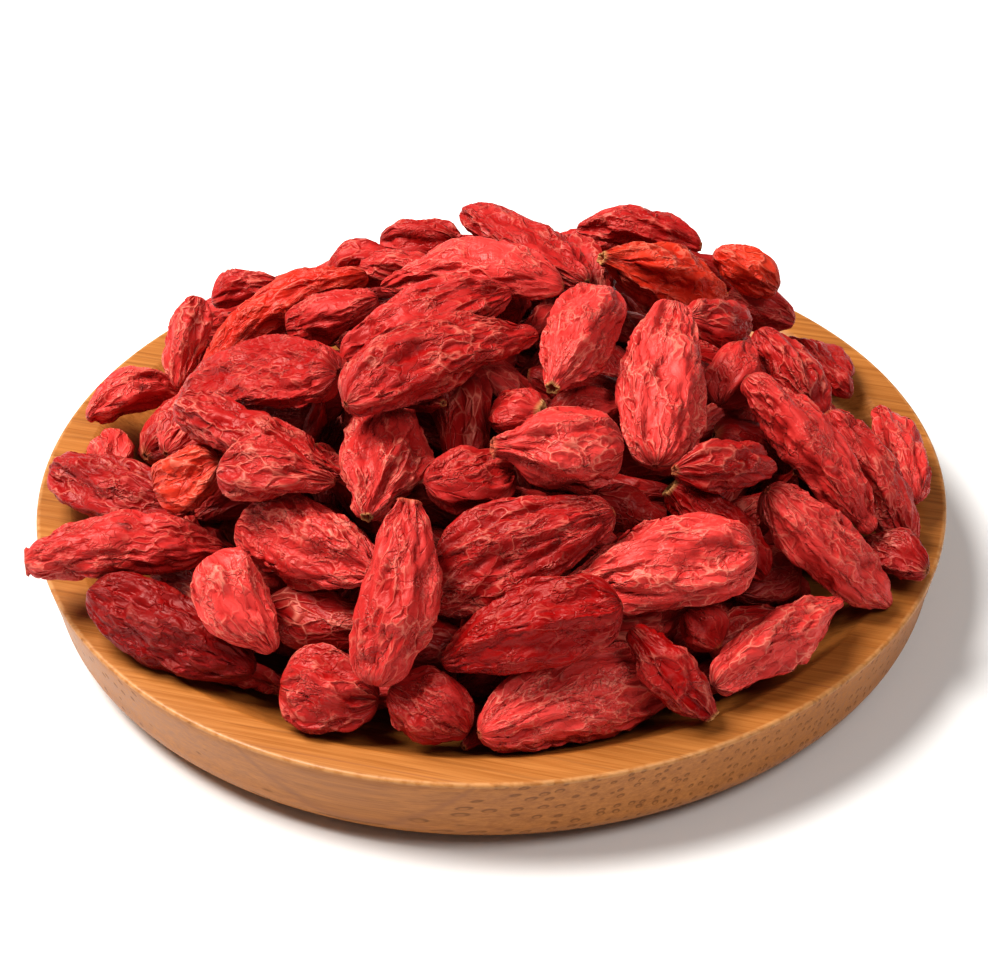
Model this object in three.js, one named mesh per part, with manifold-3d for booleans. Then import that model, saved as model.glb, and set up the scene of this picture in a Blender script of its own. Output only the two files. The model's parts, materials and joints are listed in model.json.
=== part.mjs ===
// Dried goji berries heaped in a shallow round dish turned from bamboo board.
// Millimetres, +Z up. The origin is the centre of the dish's flat underside.
import * as THREE from "three";
import { mergeVertices } from "three/addons/utils/BufferGeometryUtils.js";
import Module from "manifold-3d";

const wasm = await Module();
wasm.setup();

// The dish
const dishDiameter = 95;
const dishHeight = 10;
const rimWidth = 3.7;
const recessDepth = 5;
const coveWidth = 15;
const wallTaper = 1.2;
const footRounding = { wide: 5.2, high: 4.4 };
const rimEase = 0.35;
const dishSides = 48;
const coveSteps = 5;
const footSteps = 4;

// The heap's mean surface: an oval dome, highest a little before the dish's centre, that falls
// away faster behind
const heap = {
  wide: 43,
  before: 39,
  behind: 44,
  crest: -3,
  base: 12,
  rise: 25.5,
  round: 2.3,
  shoulder: 0.8,
  lean: 0.13,
  skirt: 4,
};

// One berry's usual form: a flattened spindle with blunt ridges along it
const berryForm = {
  thick: [0.78, 0.92],
  ends: [0.38, 0.65],
  taper: [-0.16, 0.16],
  bow: 0.7,
  ridgeHeight: 0.055,
  lumps: 0.04,
};
const facets = {
  whole: { sides: 10, rings: 8 },
  partly: { sides: 8, rings: 7 },
  beneath: { sides: 6, rings: 6 },
  hidden: { sides: 6, rings: 5 },
};

// Berries lie this far apart at least, as they lie in the dish
const clearance = 0.4;
const settleRounds = 160;
const partRounds = 120;
const settleShare = 0.04;
const fillDrift = 0.02;
const namedWeight = 4;
const mostOverlap = 0.1;

// A berry's middle lies this share of its width below the skin's own level
const sunkShare = 0.42;
const roomOverDish = 2.6;

// Berries that stick together: the spot they are stuck at, and how many share one clump
const stuck = { radius: 0.6, sides: 3, root: 1, reach: 1.6 };
const clumpSize = 6;
const mostClumps = 13;
const innerDepth = 9;

// Where the view in the photograph is taken from, with its pixels' scale
const view = {
  eye: new THREE.Vector3(0.33, -254.65, 195.67),
  elevation: THREE.MathUtils.degToRad(36.15),
  roll: THREE.MathUtils.degToRad(-1.12),
  focalPixels: 3000,
  centre: [494, 485],
};

// The berries in view: pixels of both tips, width in millimetres, lift of each end over the
// heap's mean surface, and where it shows: bow (up, aside), a thinner section, a thicker far half
// (taper) and how pointed each end is, from blunt at 0.3 to sharp at 1
const berriesInView = [
  // crest, left to right
  {
    name: "berry_01", from: [466, 210], to: [588, 286], wide: 7.4, lift: [1, -1], thick: 0.66,
    ends: [0.35, 0.6],
  },
  {
    name: "berry_02", from: [380, 242], to: [474, 250], wide: 5.6, lift: [0, -1], bow: [0.8, 0],
    ends: [0.4, 0.7],
  },
  { name: "berry_03", from: [322, 288], to: [402, 266], wide: 6, lift: [-1, -1], ends: [0.6, 0.4] },
  { name: "berry_04", from: [213, 298], to: [282, 289], wide: 5.4, high: [24, 25], bow: [0.8, 0] },
  {
    name: "berry_05", from: [196, 297], to: [182, 388], wide: 5.6, lift: [-1.8, -2.8],
    ends: [0.45, 0.65],
  },
  {
    name: "berry_06", from: [576, 232], to: [700, 250], wide: 5.4, lift: [-1, -1], bow: [1, 0],
    ends: [0.5, 0.7],
  },
  {
    name: "berry_07", from: [600, 271], to: [720, 282], wide: 7.6, lift: [0, 0], taper: 0.3,
    ends: [0.6, 0.33], tint: "orange",
  },
  { name: "berry_08", from: [702, 266], to: [771, 291], wide: 5.6, lift: [-1, -1], tint: "orange" },
  // upper face
  {
    name: "berry_09", from: [380, 288], to: [560, 294], wide: 6.8, lift: [-0.5, 0],
    bow: [1.8, 0], taper: 0.25,
  },
  {
    name: "berry_10", from: [338, 362], to: [504, 298], wide: 7.5, lift: [1, 0.5],
    bow: [0.8, 0.6], ends: [0.36, 0.6],
  },
  { name: "berry_11", from: [288, 320], to: [380, 310], wide: 6.2, lift: [-1, -2], ends: [0.33, 0.5] },
  {
    name: "berry_12", from: [206, 374], to: [376, 288], wide: 6, lift: [-1.5, -1.5],
    bow: [1.2, 2.4], tint: "orange",
  },
  {
    name: "berry_13", from: [179, 396], to: [346, 384], wide: 8.8, lift: [0.5, 1], thick: 0.55,
    ends: [0.33, 0.33],
  },
  {
    name: "berry_14", from: [187, 420], to: [338, 463], wide: 6, lift: [1, -1], taper: -0.1,
    ends: [0.36, 0.8],
  },
  {
    name: "berry_15", from: [350, 432], to: [534, 326], wide: 7.8, lift: [2, 1],
    bow: [0.8, 1.5], taper: -0.25,
  },
  {
    name: "berry_16", from: [374, 398], to: [361, 522], wide: 9.2, lift: [-1, 0], taper: -0.25,
    ends: [0.35, 0.9],
  },
  {
    name: "berry_17", from: [598, 300], to: [546, 390], wide: 7.6, lift: [0, 0.5], taper: -0.15,
    ends: [0.36, 0.75],
  },
  {
    name: "berry_18", from: [668, 308], to: [661, 466], wide: 9, lift: [2.5, 0.5], thick: 0.62,
    ends: [0.4, 0.5],
  },
  { name: "berry_19", from: [489, 420], to: [541, 414], wide: 6, lift: [-4, -1], ends: [0.5, 0.3] },
  {
    name: "berry_20", from: [487, 457], to: [621, 470], wide: 7.6, lift: [1, 1], taper: 0.3,
    ends: [0.6, 0.36],
  },
  { name: "berry_21", from: [431, 492], to: [524, 484], wide: 6.8, lift: [0, -2], ends: [0.36, 0.45] },
  {
    name: "berry_22", from: [752, 376], to: [868, 538], wide: 6.4, lift: [1, 1],
    bow: [0.4, 0.5], ends: [0.4, 0.55],
  },
  { name: "berry_23", from: [750, 332], to: [822, 415], wide: 5.8, lift: [0, -1] },
  { name: "berry_24", from: [690, 326], to: [752, 336], wide: 5.8, lift: [-1, -1.5] },
  // left side
  { name: "berry_25", from: [90, 424], to: [178, 388], wide: 7, high: [13.5, 14], bow: [1.6, 0.8] },
  {
    name: "berry_26", from: [54, 470], to: [190, 510], wide: 7, high: [14, 15],
    ends: [0.36, 0.5], tint: "dark",
  },
  {
    name: "berry_27", from: [163, 498], to: [222, 456], wide: 7, lift: [-1, -2],
    ends: [0.36, 0.4], tint: "orange",
  },
  {
    name: "berry_28", from: [230, 482], to: [338, 484], wide: 6.4, lift: [0, -1], taper: -0.4,
    ends: [0.4, 1],
  },
  {
    name: "berry_29", from: [29, 578], to: [224, 536], wide: 7, high: [15.5, 17],
    bow: [0.8, 0.8], ends: [0.33, 0.7],
  },
  {
    name: "berry_30", from: [227, 524], to: [378, 578], wide: 8.5, lift: [0.5, 0], thick: 0.6,
    ends: [0.4, 0.55],
  },
  { name: "berry_31", from: [97, 606], to: [255, 656], wide: 7.7, high: [12.5, 14], ends: [0.45, 0.5] },
  {
    name: "berry_32", from: [212, 566], to: [266, 660], wide: 7.2, lift: [1, 1], taper: -0.3,
    ends: [0.33, 0.45],
  },
  // middle and front
  {
    name: "berry_33", from: [411, 494], to: [386, 686], wide: 7.5, lift: [2.5, 2.5],
    bow: [0.5, 0.8], taper: 0.2,
  },
  {
    name: "berry_34", from: [421, 602], to: [612, 509], wide: 9, lift: [-0.5, 0], thick: 0.6,
    taper: -0.2, tint: "dark",
  },
  {
    name: "berry_35", from: [552, 578], to: [744, 550], wide: 9.2, lift: [0, 1], thick: 0.7,
    taper: 0.3, ends: [0.85, 0.33],
  },
  {
    name: "berry_36", from: [442, 672], to: [614, 594], wide: 8.3, lift: [-1, 1.5], taper: 0.2,
    ends: [0.65, 0.38],
  },
  {
    name: "berry_37", from: [474, 738], to: [700, 692], wide: 9, lift: [1, 1], bow: [0.6, 0.6],
    thick: 0.66, ends: [0.4, 0.65],
  },
  { name: "berry_38", from: [282, 690], to: [378, 700], wide: 8.4, lift: [0, -1], ends: [0.33, 0.36] },
  { name: "berry_39", from: [394, 684], to: [474, 726], wide: 7.2, lift: [-0.5, -1], ends: [0.4, 0.5] },
  { name: "berry_40", from: [702, 680], to: [832, 604], wide: 6.6, lift: [0, 0], ends: [0.4, 0.8] },
  {
    name: "berry_41", from: [776, 482], to: [887, 600], wide: 7.7, lift: [1, 1], taper: -0.15,
    ends: [0.36, 0.7],
  },
  {
    name: "berry_42", from: [666, 474], to: [774, 468], wide: 5.6, lift: [-1, 0], bow: [1.6, 0],
    ends: [0.6, 0.4],
  },
  { name: "berry_43", from: [672, 494], to: [764, 586], wide: 6.2, lift: [-1, -3], ends: [0.5, 0.6] },
  { name: "berry_44", from: [822, 420], to: [910, 552], wide: 6.4, lift: [1, 1], ends: [0.4, 0.6] },
  { name: "berry_45", from: [622, 630], to: [699, 723], wide: 5.8, lift: [-2, 0], ends: [0.4, 0.85] },
];

// Berries that show only in part, between and behind those
const berriesBetween = [
  { from: [504, 234], to: [590, 240], wide: 5.8, lift: [-1, -2] },
  { from: [562, 236], to: [606, 284], wide: 5.8, lift: [-1, -2] },
  { from: [276, 297], to: [338, 287], wide: 5.4, lift: [-2, -2] },
  { from: [728, 292], to: [794, 322], wide: 6.2, high: [23, 20] },
  { from: [726, 350], to: [734, 412], wide: 6.4, lift: [-2, -4] },
  { from: [790, 338], to: [846, 402], wide: 4.9, high: [17, 13], tint: "dark" },
  { from: [806, 346], to: [850, 384], wide: 4.5, high: [11, 12.5] },
  { from: [878, 410], to: [918, 500], wide: 6, high: [14, 13.5] },
  { from: [845, 545], to: [913, 577], wide: 5.8, high: [13, 13], tint: "dark" },
  { from: [700, 602], to: [716, 648], wide: 4.7, lift: [-3, -1] },
  { from: [724, 640], to: [806, 594], wide: 5.6, lift: [-2, -3] },
  { from: [262, 600], to: [372, 636], wide: 6.4, lift: [-5, -5], tint: "dark" },
  { from: [80, 420], to: [112, 470], wide: 5.4, high: [12.5, 10] },
  { from: [548, 404], to: [628, 414], wide: 6, lift: [-5, -5] },
  { from: [606, 500], to: [690, 512], wide: 5.8, lift: [-6, -5] },
  { from: [712, 424], to: [780, 452], wide: 6, lift: [-6, -6] },
  { from: [740, 600], to: [800, 560], wide: 5.8, lift: [-5, -5] },
  { from: [600, 624], to: [700, 612], wide: 5.8, lift: [-5, -4] },
  { from: [400, 650], to: [470, 630], wide: 5.6, lift: [-5, -5] },
];

// The berries that no view shows whole are laid by a seeded draw, this many tries for each layer
const fillLayers = [
  { depth: 0, tries: 9000, room: 5.9, drift: -1, facets: facets.partly },
  { depth: 6, tries: 7000, room: 5, drift: 1, facets: facets.beneath },
  { depth: 12, tries: 7000, room: 5.1, drift: 1, facets: facets.hidden },
  { depth: 18, tries: 7000, room: 5.4, drift: 1, facets: facets.hidden },
];
const fillLength = [13, 19];
const fillWidth = [6.4, 8];

const colours = { red: "#b32a26", orange: "#c4401f", dark: "#7a1f22", bamboo: "#c98f55" };
const bambooRoughness = 0.4;
const berryRoughness = 0.55;

// A seeded draw between 0 and 1, the same on every run
function seededDraw(seed) {
  let state = seed;
  return () => {
    state = (state + 0x6d2b79f5) | 0;
    let mixed = Math.imul(state ^ (state >>> 15), 1 | state);
    mixed = (mixed + Math.imul(mixed ^ (mixed >>> 7), 61 | mixed)) ^ mixed;
    return ((mixed ^ (mixed >>> 14)) >>> 0) / 4294967296;
  };
}

function between(draw, [low, high]) {
  return low + (high - low) * draw();
}

// Height of the heap's mean surface over a point of the dish
function heapHeight(x, y) {
  const past = y - heap.crest;
  const q = Math.hypot(x / heap.wide, past / (past > 0 ? heap.behind : heap.before));
  const rise = heap.rise * Math.max(0, 1 - q ** heap.round) ** heap.shoulder;
  return heap.base + Math.max(0, rise - heap.lean * Math.max(0, past));
}

// Direction of the line of sight through a pixel
function sightThrough([across, down]) {
  const u = across - view.centre[0];
  const v = down - view.centre[1];
  const right = u * Math.cos(view.roll) + v * Math.sin(view.roll);
  const fall = v * Math.cos(view.roll) - u * Math.sin(view.roll);
  const sight = new THREE.Vector3(right, view.focalPixels, -fall);
  return sight.applyAxisAngle(new THREE.Vector3(1, 0, 0), -view.elevation).normalize();
}

// Where the line of sight through a pixel comes down to a height over the table
function levelInView(pixel, height) {
  const sight = sightThrough(pixel);
  return view.eye.clone().addScaledVector(sight, (height - view.eye.z) / sight.z);
}

// Where the line of sight through a pixel meets the heap's surface, raised by lift. A line that
// clears the heap and the dish behind it gives the point where it passes nearest the surface.
function placeInView(pixel, lift) {
  const sight = sightThrough(pixel);
  const point = view.eye.clone();
  const nearest = { room: Infinity, point: null };
  for (let room = Infinity; room > 0; point.addScaledVector(sight, 0.1)) {
    room = point.z - heapHeight(point.x, point.y) - lift;
    if (room < nearest.room && heapHeight(point.x, point.y) > heap.base + heap.skirt) {
      nearest.room = room;
      nearest.point = point.clone();
    }
  }
  return Math.hypot(point.x, point.y) > dishDiameter / 2 && point.y > 0 ? nearest.point : point;
}

// Share of the full section at a point a of the length, from -1 to 1
function sectionShare(shape, a) {
  const point = THREE.MathUtils.lerp(shape.ends[0], shape.ends[1], (1 + a) / 2);
  return Math.max(0, 1 - a * a) ** point * (1 + shape.taper * a);
}

// A berry's shape and pose. Its length runs along its own X, and it is thinnest along Z.
function makeBerry(row, start, end, up, draw) {
  const axis = end.clone().sub(start);
  const shape = {
    halfLength: axis.length() / 2,
    halfWide: row.wide / 2,
    halfThick: (row.wide / 2) * (row.thick ?? between(draw, berryForm.thick)),
    ends: row.ends ?? [between(draw, berryForm.ends), between(draw, berryForm.ends)],
    taper: row.taper ?? between(draw, berryForm.taper),
    bow: row.bow?.[0] ?? between(draw, [0, berryForm.bow]),
    sway: row.bow?.[1] ?? between(draw, [-berryForm.bow, berryForm.bow]),
    facets: row.facets,
    seed: Math.floor(1e9 * draw()),
  };
  const along = axis.normalize();
  const aside = new THREE.Vector3().crossVectors(up, along).normalize();
  const over = new THREE.Vector3().crossVectors(along, aside);
  const basis = new THREE.Matrix4().makeBasis(along, aside, over);
  const geometry = berryGeometry(shape);
  return {
    name: row.name,
    tint: row.tint ?? "red",
    shape,
    geometry,
    position: start.clone().add(end).multiplyScalar(0.5),
    turn: new THREE.Quaternion().setFromRotationMatrix(basis),
    reach: shape.halfLength + 1,
    skin: cornersOf(geometry),
    edges: edgePairs(geometry.index.array),
  };
}

function cornersOf(geometry) {
  const spots = geometry.attributes.position;
  const corners = [];
  for (let i = 0; i < spots.count; i += 1) {
    corners.push(new THREE.Vector3().fromBufferAttribute(spots, i));
  }
  return corners;
}

// Pairs of corners that an edge joins
function edgePairs(corners) {
  const pairs = [];
  for (let i = 0; i < corners.length; i += 3) {
    for (let k = 0; k < 3; k += 1) {
      const pair = [corners[i + k], corners[i + ((k + 1) % 3)]];
      if (pair[0] < pair[1]) pairs.push(pair);
    }
  }
  return pairs;
}

// A sphere drawn out to a wrinkled, slightly bent spindle
function berryGeometry(shape) {
  const sphere = new THREE.SphereGeometry(1, shape.facets.sides, shape.facets.rings);
  sphere.deleteAttribute("normal");
  sphere.deleteAttribute("uv");
  const geometry = mergeVertices(sphere, 1e-5);
  const spots = geometry.attributes.position;
  const draw = seededDraw(shape.seed);
  for (let i = 0; i < spots.count; i += 1) {
    const a = spots.getY(i);
    const angle = Math.atan2(spots.getZ(i), spots.getX(i));
    const ridge = berryForm.ridgeHeight * Math.cos((shape.facets.sides / 2) * angle);
    const lump = berryForm.lumps * (2 * draw() - 1);
    const share = sectionShare(shape, a) * (1 + ridge + lump);
    const arch = 1 - a * a;
    const across = shape.halfWide * share * Math.cos(angle) + shape.sway * arch;
    const over = -shape.halfThick * share * Math.sin(angle) + shape.bow * arch;
    spots.setXYZ(i, shape.halfLength * a, across, over);
  }
  return geometry;
}

// How far a point in a berry's own frame lies outside its skin; below 0 it is inside
function distanceOutside(shape, point, gap) {
  const past = Math.abs(point.x) - shape.halfLength - gap;
  if (past > 0) return Math.hypot(past, point.y, point.z);
  const a = point.x / (shape.halfLength + gap);
  const share = sectionShare(shape, a);
  const arch = 1 - a * a;
  const across = point.y - shape.sway * arch;
  const over = point.z - shape.bow * arch;
  const wide = shape.halfWide * share + gap;
  const thick = shape.halfThick * share + gap;
  const level = Math.hypot(across / wide, over / thick);
  return (Math.hypot(across, over) * (level - 1)) / Math.max(level, 1e-6);
}

// Direction in which that distance grows fastest
function outwardAt(shape, point, gap) {
  const nudge = 0.05;
  const base = distanceOutside(shape, point, gap);
  const slope = ["x", "y", "z"].map((key) => {
    const moved = point.clone();
    moved[key] += nudge;
    return distanceOutside(shape, moved, gap) - base;
  });
  const outward = new THREE.Vector3(...slope);
  return outward.lengthSq() > 0 ? outward.normalize() : new THREE.Vector3(0, 0, 1);
}

// The dish's upper surface at a distance from its axis
function dishSurface(r) {
  const inner = dishDiameter / 2 - rimWidth;
  if (r >= inner) return dishHeight;
  const floor = dishHeight - recessDepth;
  const s = Math.max(0, r - (inner - coveWidth)) / coveWidth;
  return floor + recessDepth * s * s;
}

// Turns and shifts a berry by a push at a point; a heavy one moves less
function push(berry, at, direction, amount) {
  const arm = at.clone().sub(berry.position);
  const torque = arm.cross(direction);
  const size = berry.shape.halfLength ** 2 / 5 + berry.shape.halfWide ** 2 / 5;
  const share = amount / (1 + torque.lengthSq() / size);
  berry.position.addScaledVector(direction, share);
  const angle = (torque.length() * share) / size;
  if (angle < 1e-9) return;
  const spin = new THREE.Quaternion().setFromAxisAngle(torque.normalize(), Math.min(angle, 0.1));
  berry.turn.premultiply(spin).normalize();
}

function refreshSkin(berry) {
  berry.back = berry.turn.clone().invert();
  berry.world = berry.skin.map((spot) => spot.clone().applyQuaternion(berry.turn).add(berry.position));
}

// Parts two berries where the skin of one comes too near the other
function partPair(first, second, gap) {
  if (first.position.distanceTo(second.position) > first.reach + second.reach) return 0;
  let worst = 0;
  for (const [one, other] of [[first, second], [second, first]]) {
    let deepest = -1e-3;
    let touch = null;
    for (const spot of one.world) {
      const local = spot.clone().sub(other.position).applyQuaternion(other.back);
      const depth = distanceOutside(other.shape, local, gap);
      if (depth < deepest) {
        deepest = depth;
        touch = { spot, local };
      }
    }
    if (!touch) continue;
    const away = outwardAt(other.shape, touch.local, gap).applyQuaternion(other.turn);
    const share = other.weight / (one.weight + other.weight);
    push(one, touch.spot, away, -deepest * share);
    push(other, touch.spot, away.clone().negate(), -deepest * (1 - share));
    refreshSkin(one);
    refreshSkin(other);
    worst = Math.max(worst, -deepest);
  }
  return worst;
}

// Lifts a berry clear of the dish
function liftFromDish(berry, gap) {
  let deepest = 0;
  let touch = null;
  const middles = berry.edges.map((pair) => {
    const [one, other] = pair.map((corner) => berry.world[corner]);
    return one.clone().lerp(other, 0.5);
  });
  for (const spot of [...berry.world, ...middles]) {
    const r = Math.hypot(spot.x, spot.y);
    const depth = r < dishDiameter / 2 + 1 ? spot.z - dishSurface(r) - gap : 0;
    if (depth < deepest) {
      deepest = depth;
      touch = spot;
    }
  }
  if (!touch) return 0;
  const r = Math.hypot(touch.x, touch.y);
  const slope = (dishSurface(r + 0.1) - dishSurface(r - 0.1)) / 0.2;
  const away = new THREE.Vector3(-touch.x * slope / r, -touch.y * slope / r, 1).normalize();
  push(berry, touch, away, -deepest * away.z);
  refreshSkin(berry);
  return -deepest;
}

// Draws a berry back towards the place it was first given, or lets it sink a little
function settle(berry, strength) {
  if (berry.name || berry.seen) {
    berry.position.lerp(berry.home.position, strength);
    berry.turn.slerp(berry.home.turn, strength);
  } else {
    berry.position.addScaledVector(berry.drift, fillDrift);
  }
  refreshSkin(berry);
}

function settleHeap(berries) {
  for (const berry of berries) {
    berry.home = { position: berry.position.clone(), turn: berry.turn.clone() };
    berry.weight = berry.name ? namedWeight : 1;
    refreshSkin(berry);
  }
  let worst = 0;
  for (let round = 0; round < settleRounds + partRounds; round += 1) {
    const strength = settleShare * Math.max(0, 1 - round / settleRounds);
    if (round < settleRounds) berries.forEach((berry) => settle(berry, strength));
    worst = 0;
    for (let i = 0; i < berries.length; i += 1) {
      for (let j = i + 1; j < berries.length; j += 1) {
        worst = Math.max(worst, partPair(berries[i], berries[j], clearance));
      }
      worst = Math.max(worst, liftFromDish(berries[i], clearance));
    }
    if (round > settleRounds && worst < 0.02) break;
  }
  if (worst > mostOverlap) throw new Error(`berries still overlap by ${worst} mm`);
}

// How near the axes of two berries come
function axisDistance(first, second) {
  let nearest = Infinity;
  for (const one of axisPoints(first)) {
    for (const other of axisPoints(second)) nearest = Math.min(nearest, one.distanceTo(other));
  }
  return nearest;
}

function axisPoints(berry) {
  return [-0.7, -0.35, 0, 0.35, 0.7].map((share) => {
    const point = new THREE.Vector3(share * berry.shape.halfLength, 0, 0);
    return point.applyQuaternion(berry.turn).add(berry.position);
  });
}

function seenBerry(row, draw) {
  const sunk = row.wide * sunkShare;
  const tipAt = (pixel, i) =>
    row.high ? levelInView(pixel, row.high[i]) : placeInView(pixel, row.lift[i] - sunk);
  const start = tipAt(row.from, 0);
  const end = tipAt(row.to, 1);
  const middle = start.clone().add(end).multiplyScalar(0.5);
  const detail = row.name ? facets.whole : facets.partly;
  const berry = makeBerry({ ...row, facets: detail }, start, end, heapUp(middle.x, middle.y), draw);
  berry.seen = true;
  return berry;
}

// Upright of the heap's mean surface
function heapUp(x, y) {
  const slopeX = heapHeight(x + 1, y) - heapHeight(x - 1, y);
  const slopeY = heapHeight(x, y + 1) - heapHeight(x, y - 1);
  return new THREE.Vector3(-slopeX / 2, -slopeY / 2, 1).normalize();
}

// Fills the heap, layer by layer inwards, wherever there is still room for a berry
function fillHeap(berries, draw) {
  for (const layer of fillLayers) {
    for (let i = 0; i < layer.tries; i += 1) {
      const x = between(draw, [-heap.wide, heap.wide]);
      const y = heap.crest + between(draw, [-heap.before, heap.behind]);
      const wide = between(draw, fillWidth);
      const middle = new THREE.Vector3(x, y, heapHeight(x, y));
      const up = heapUp(x, y);
      middle.addScaledVector(up, -layer.depth - sunkShare * wide);
      const heading = between(draw, [0, 2 * Math.PI]);
      const half = between(draw, fillLength) / 2;
      const along = new THREE.Vector3(Math.cos(heading), Math.sin(heading), 0);
      along.addScaledVector(up, -along.dot(up)).normalize().multiplyScalar(half);
      const start = middle.clone().sub(along);
      const end = middle.clone().add(along);
      if (!insideDish(start) || !insideDish(end) || !insideDish(middle)) continue;
      const berry = makeBerry({ wide, facets: layer.facets }, start, end, up, draw);
      berry.drift = up.clone().multiplyScalar(layer.drift);
      if (berries.every((other) => axisDistance(berry, other) > layer.room)) berries.push(berry);
    }
  }
}

function insideDish(point) {
  const r = Math.hypot(point.x, point.y);
  return r < dishDiameter / 2 - rimWidth && point.z > dishSurface(r) + roomOverDish;
}

// A closed geometry as a solid, and back
function solidOf(geometry) {
  const vertProperties = Float32Array.from(geometry.attributes.position.array);
  const triVerts = Uint32Array.from(geometry.index.array);
  return new wasm.Manifold(new wasm.Mesh({ numProp: 3, vertProperties, triVerts }));
}

function geometryOf(solid) {
  const mesh = solid.getMesh();
  const geometry = new THREE.BufferGeometry();
  geometry.setAttribute("position", new THREE.BufferAttribute(mesh.vertProperties, 3));
  geometry.setIndex(new THREE.BufferAttribute(mesh.triVerts, 1));
  return geometry;
}

function placedGeometry(berry) {
  const pose = new THREE.Matrix4().compose(berry.position, berry.turn, new THREE.Vector3(1, 1, 1));
  return berry.geometry.clone().applyMatrix4(pose);
}

// The spot where one berry's skin comes nearest another's, and the way across
function nearestSpot(one, other) {
  let nearest = { room: Infinity };
  for (const spot of one.world) {
    const local = spot.clone().sub(other.position).applyQuaternion(other.back);
    const room = distanceOutside(other.shape, local, 0);
    if (room < nearest.room) nearest = { room, spot, local };
  }
  const across = outwardAt(other.shape, nearest.local, 0).applyQuaternion(other.turn).negate();
  return { room: nearest.room, spot: nearest.spot, across };
}

function nearestTouch(first, second) {
  const apart = first.position.distanceTo(second.position);
  if (apart > first.reach + second.reach) return { room: Infinity };
  const there = nearestSpot(first, second);
  const back = nearestSpot(second, first);
  return there.room < back.room ? there : back;
}

// The sticky spot that holds two berries together where they touch, rooted in both
function stuckSpot(touch) {
  const length = touch.room + 2 * stuck.root;
  const round = new THREE.CylinderGeometry(stuck.radius, stuck.radius, length, stuck.sides);
  round.deleteAttribute("normal");
  round.deleteAttribute("uv");
  const middle = touch.spot.clone().addScaledVector(touch.across, touch.room / 2);
  const turn = new THREE.Quaternion().setFromUnitVectors(new THREE.Vector3(0, 1, 0), touch.across);
  const pose = new THREE.Matrix4().compose(middle, turn, new THREE.Vector3(1, 1, 1));
  return mergeVertices(round, 1e-5).applyMatrix4(pose);
}

// The loose berry that touches a clump most closely
function nextMember(clump, loose) {
  let best = { room: stuck.reach };
  for (const member of clump.members) {
    for (const other of loose) {
      const touch = nearestTouch(member, other);
      if (touch.room < best.room && spotIsClear(touch, [member, other])) best = { ...touch, other };
    }
  }
  return best;
}

// Grows a clump from a first berry outwards, over loose berries that touch it
function growClump(clump, loose, most) {
  while (clump.members.length < most) {
    const best = nextMember(clump, loose);
    if (!best.other) break;
    clump.members.push(best.other);
    clump.spots.push(stuckSpot(best));
    loose.delete(best.other);
  }
  return clump;
}

function startClump(loose, first) {
  loose.delete(first);
  return { members: [first], spots: [] };
}

function spotIsClear(touch, pair) {
  const middle = touch.spot.clone().addScaledVector(touch.across, touch.room / 2);
  return berries.every((other) => {
    if (pair.includes(other)) return true;
    const local = middle.clone().sub(other.position).applyQuaternion(other.back);
    return distanceOutside(other.shape, local, 0) > stuck.radius + clearance / 2;
  });
}

function fuse(clump) {
  let solid = solidOf(placedGeometry(clump.members[0]));
  clump.members.slice(1).forEach((berry, i) => {
    solid = solid.add(solidOf(placedGeometry(berry))).add(solidOf(clump.spots[i]));
  });
  return geometryOf(solid);
}

// The dish's outline from the middle of its foot to the middle of its recess
function dishGeometry() {
  const outer = dishDiameter / 2;
  const inner = outer - rimWidth;
  const foot = outer - wallTaper;
  const outline = [new THREE.Vector2(0, 0)];
  for (let i = 0; i <= footSteps; i += 1) {
    const turn = (Math.PI / 2) * (i / footSteps);
    const r = foot - footRounding.wide * (1 - Math.sin(turn));
    outline.push(new THREE.Vector2(r, footRounding.high * (1 - Math.cos(turn))));
  }
  outline.push(new THREE.Vector2(outer, dishHeight - rimEase));
  outline.push(new THREE.Vector2(outer - rimEase, dishHeight));
  outline.push(new THREE.Vector2(inner, dishHeight));
  for (let i = 1; i <= coveSteps; i += 1) {
    const r = inner - coveWidth * (i / coveSteps);
    outline.push(new THREE.Vector2(r, dishSurface(r)));
  }
  outline.push(new THREE.Vector2(0, dishHeight - recessDepth));
  const turned = new THREE.LatheGeometry(outline, dishSides);
  turned.deleteAttribute("normal");
  turned.deleteAttribute("uv");
  return mergeVertices(turned.rotateX(Math.PI / 2), 1e-4);
}

function addPiece(name, geometry, tint, roughness) {
  const material = new THREE.MeshStandardMaterial({ color: colours[tint], roughness, metalness: 0 });
  const mesh = new THREE.Mesh(geometry, material);
  mesh.name = name;
  bowl.add(mesh);
}

const draw = seededDraw(20);
const berries = [...berriesInView, ...berriesBetween].map((row) => seenBerry(row, draw));
fillHeap(berries, draw);
settleHeap(berries);

const bowl = new THREE.Group();
addPiece("bamboo_dish", dishGeometry(), "bamboo", bambooRoughness);
for (const berry of berries.filter((one) => one.name)) {
  addPiece(berry.name, placedGeometry(berry), berry.tint, berryRoughness);
}

// What no node of its own is left for: the berries inside the heap share one node, and those at
// the back and between the others are stuck together in clumps
const depthOf = (berry) => heapHeight(berry.position.x, berry.position.y) - berry.position.z;
const loose = new Set(berries.filter((berry) => !berry.name));
const buried = new Set([...loose].filter((berry) => depthOf(berry) > innerDepth));
const deepest = [...buried].sort((one, other) => depthOf(other) - depthOf(one))[0];
const inside = growClump(startClump(buried, deepest), buried, Infinity);
inside.members.forEach((berry) => loose.delete(berry));

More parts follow.
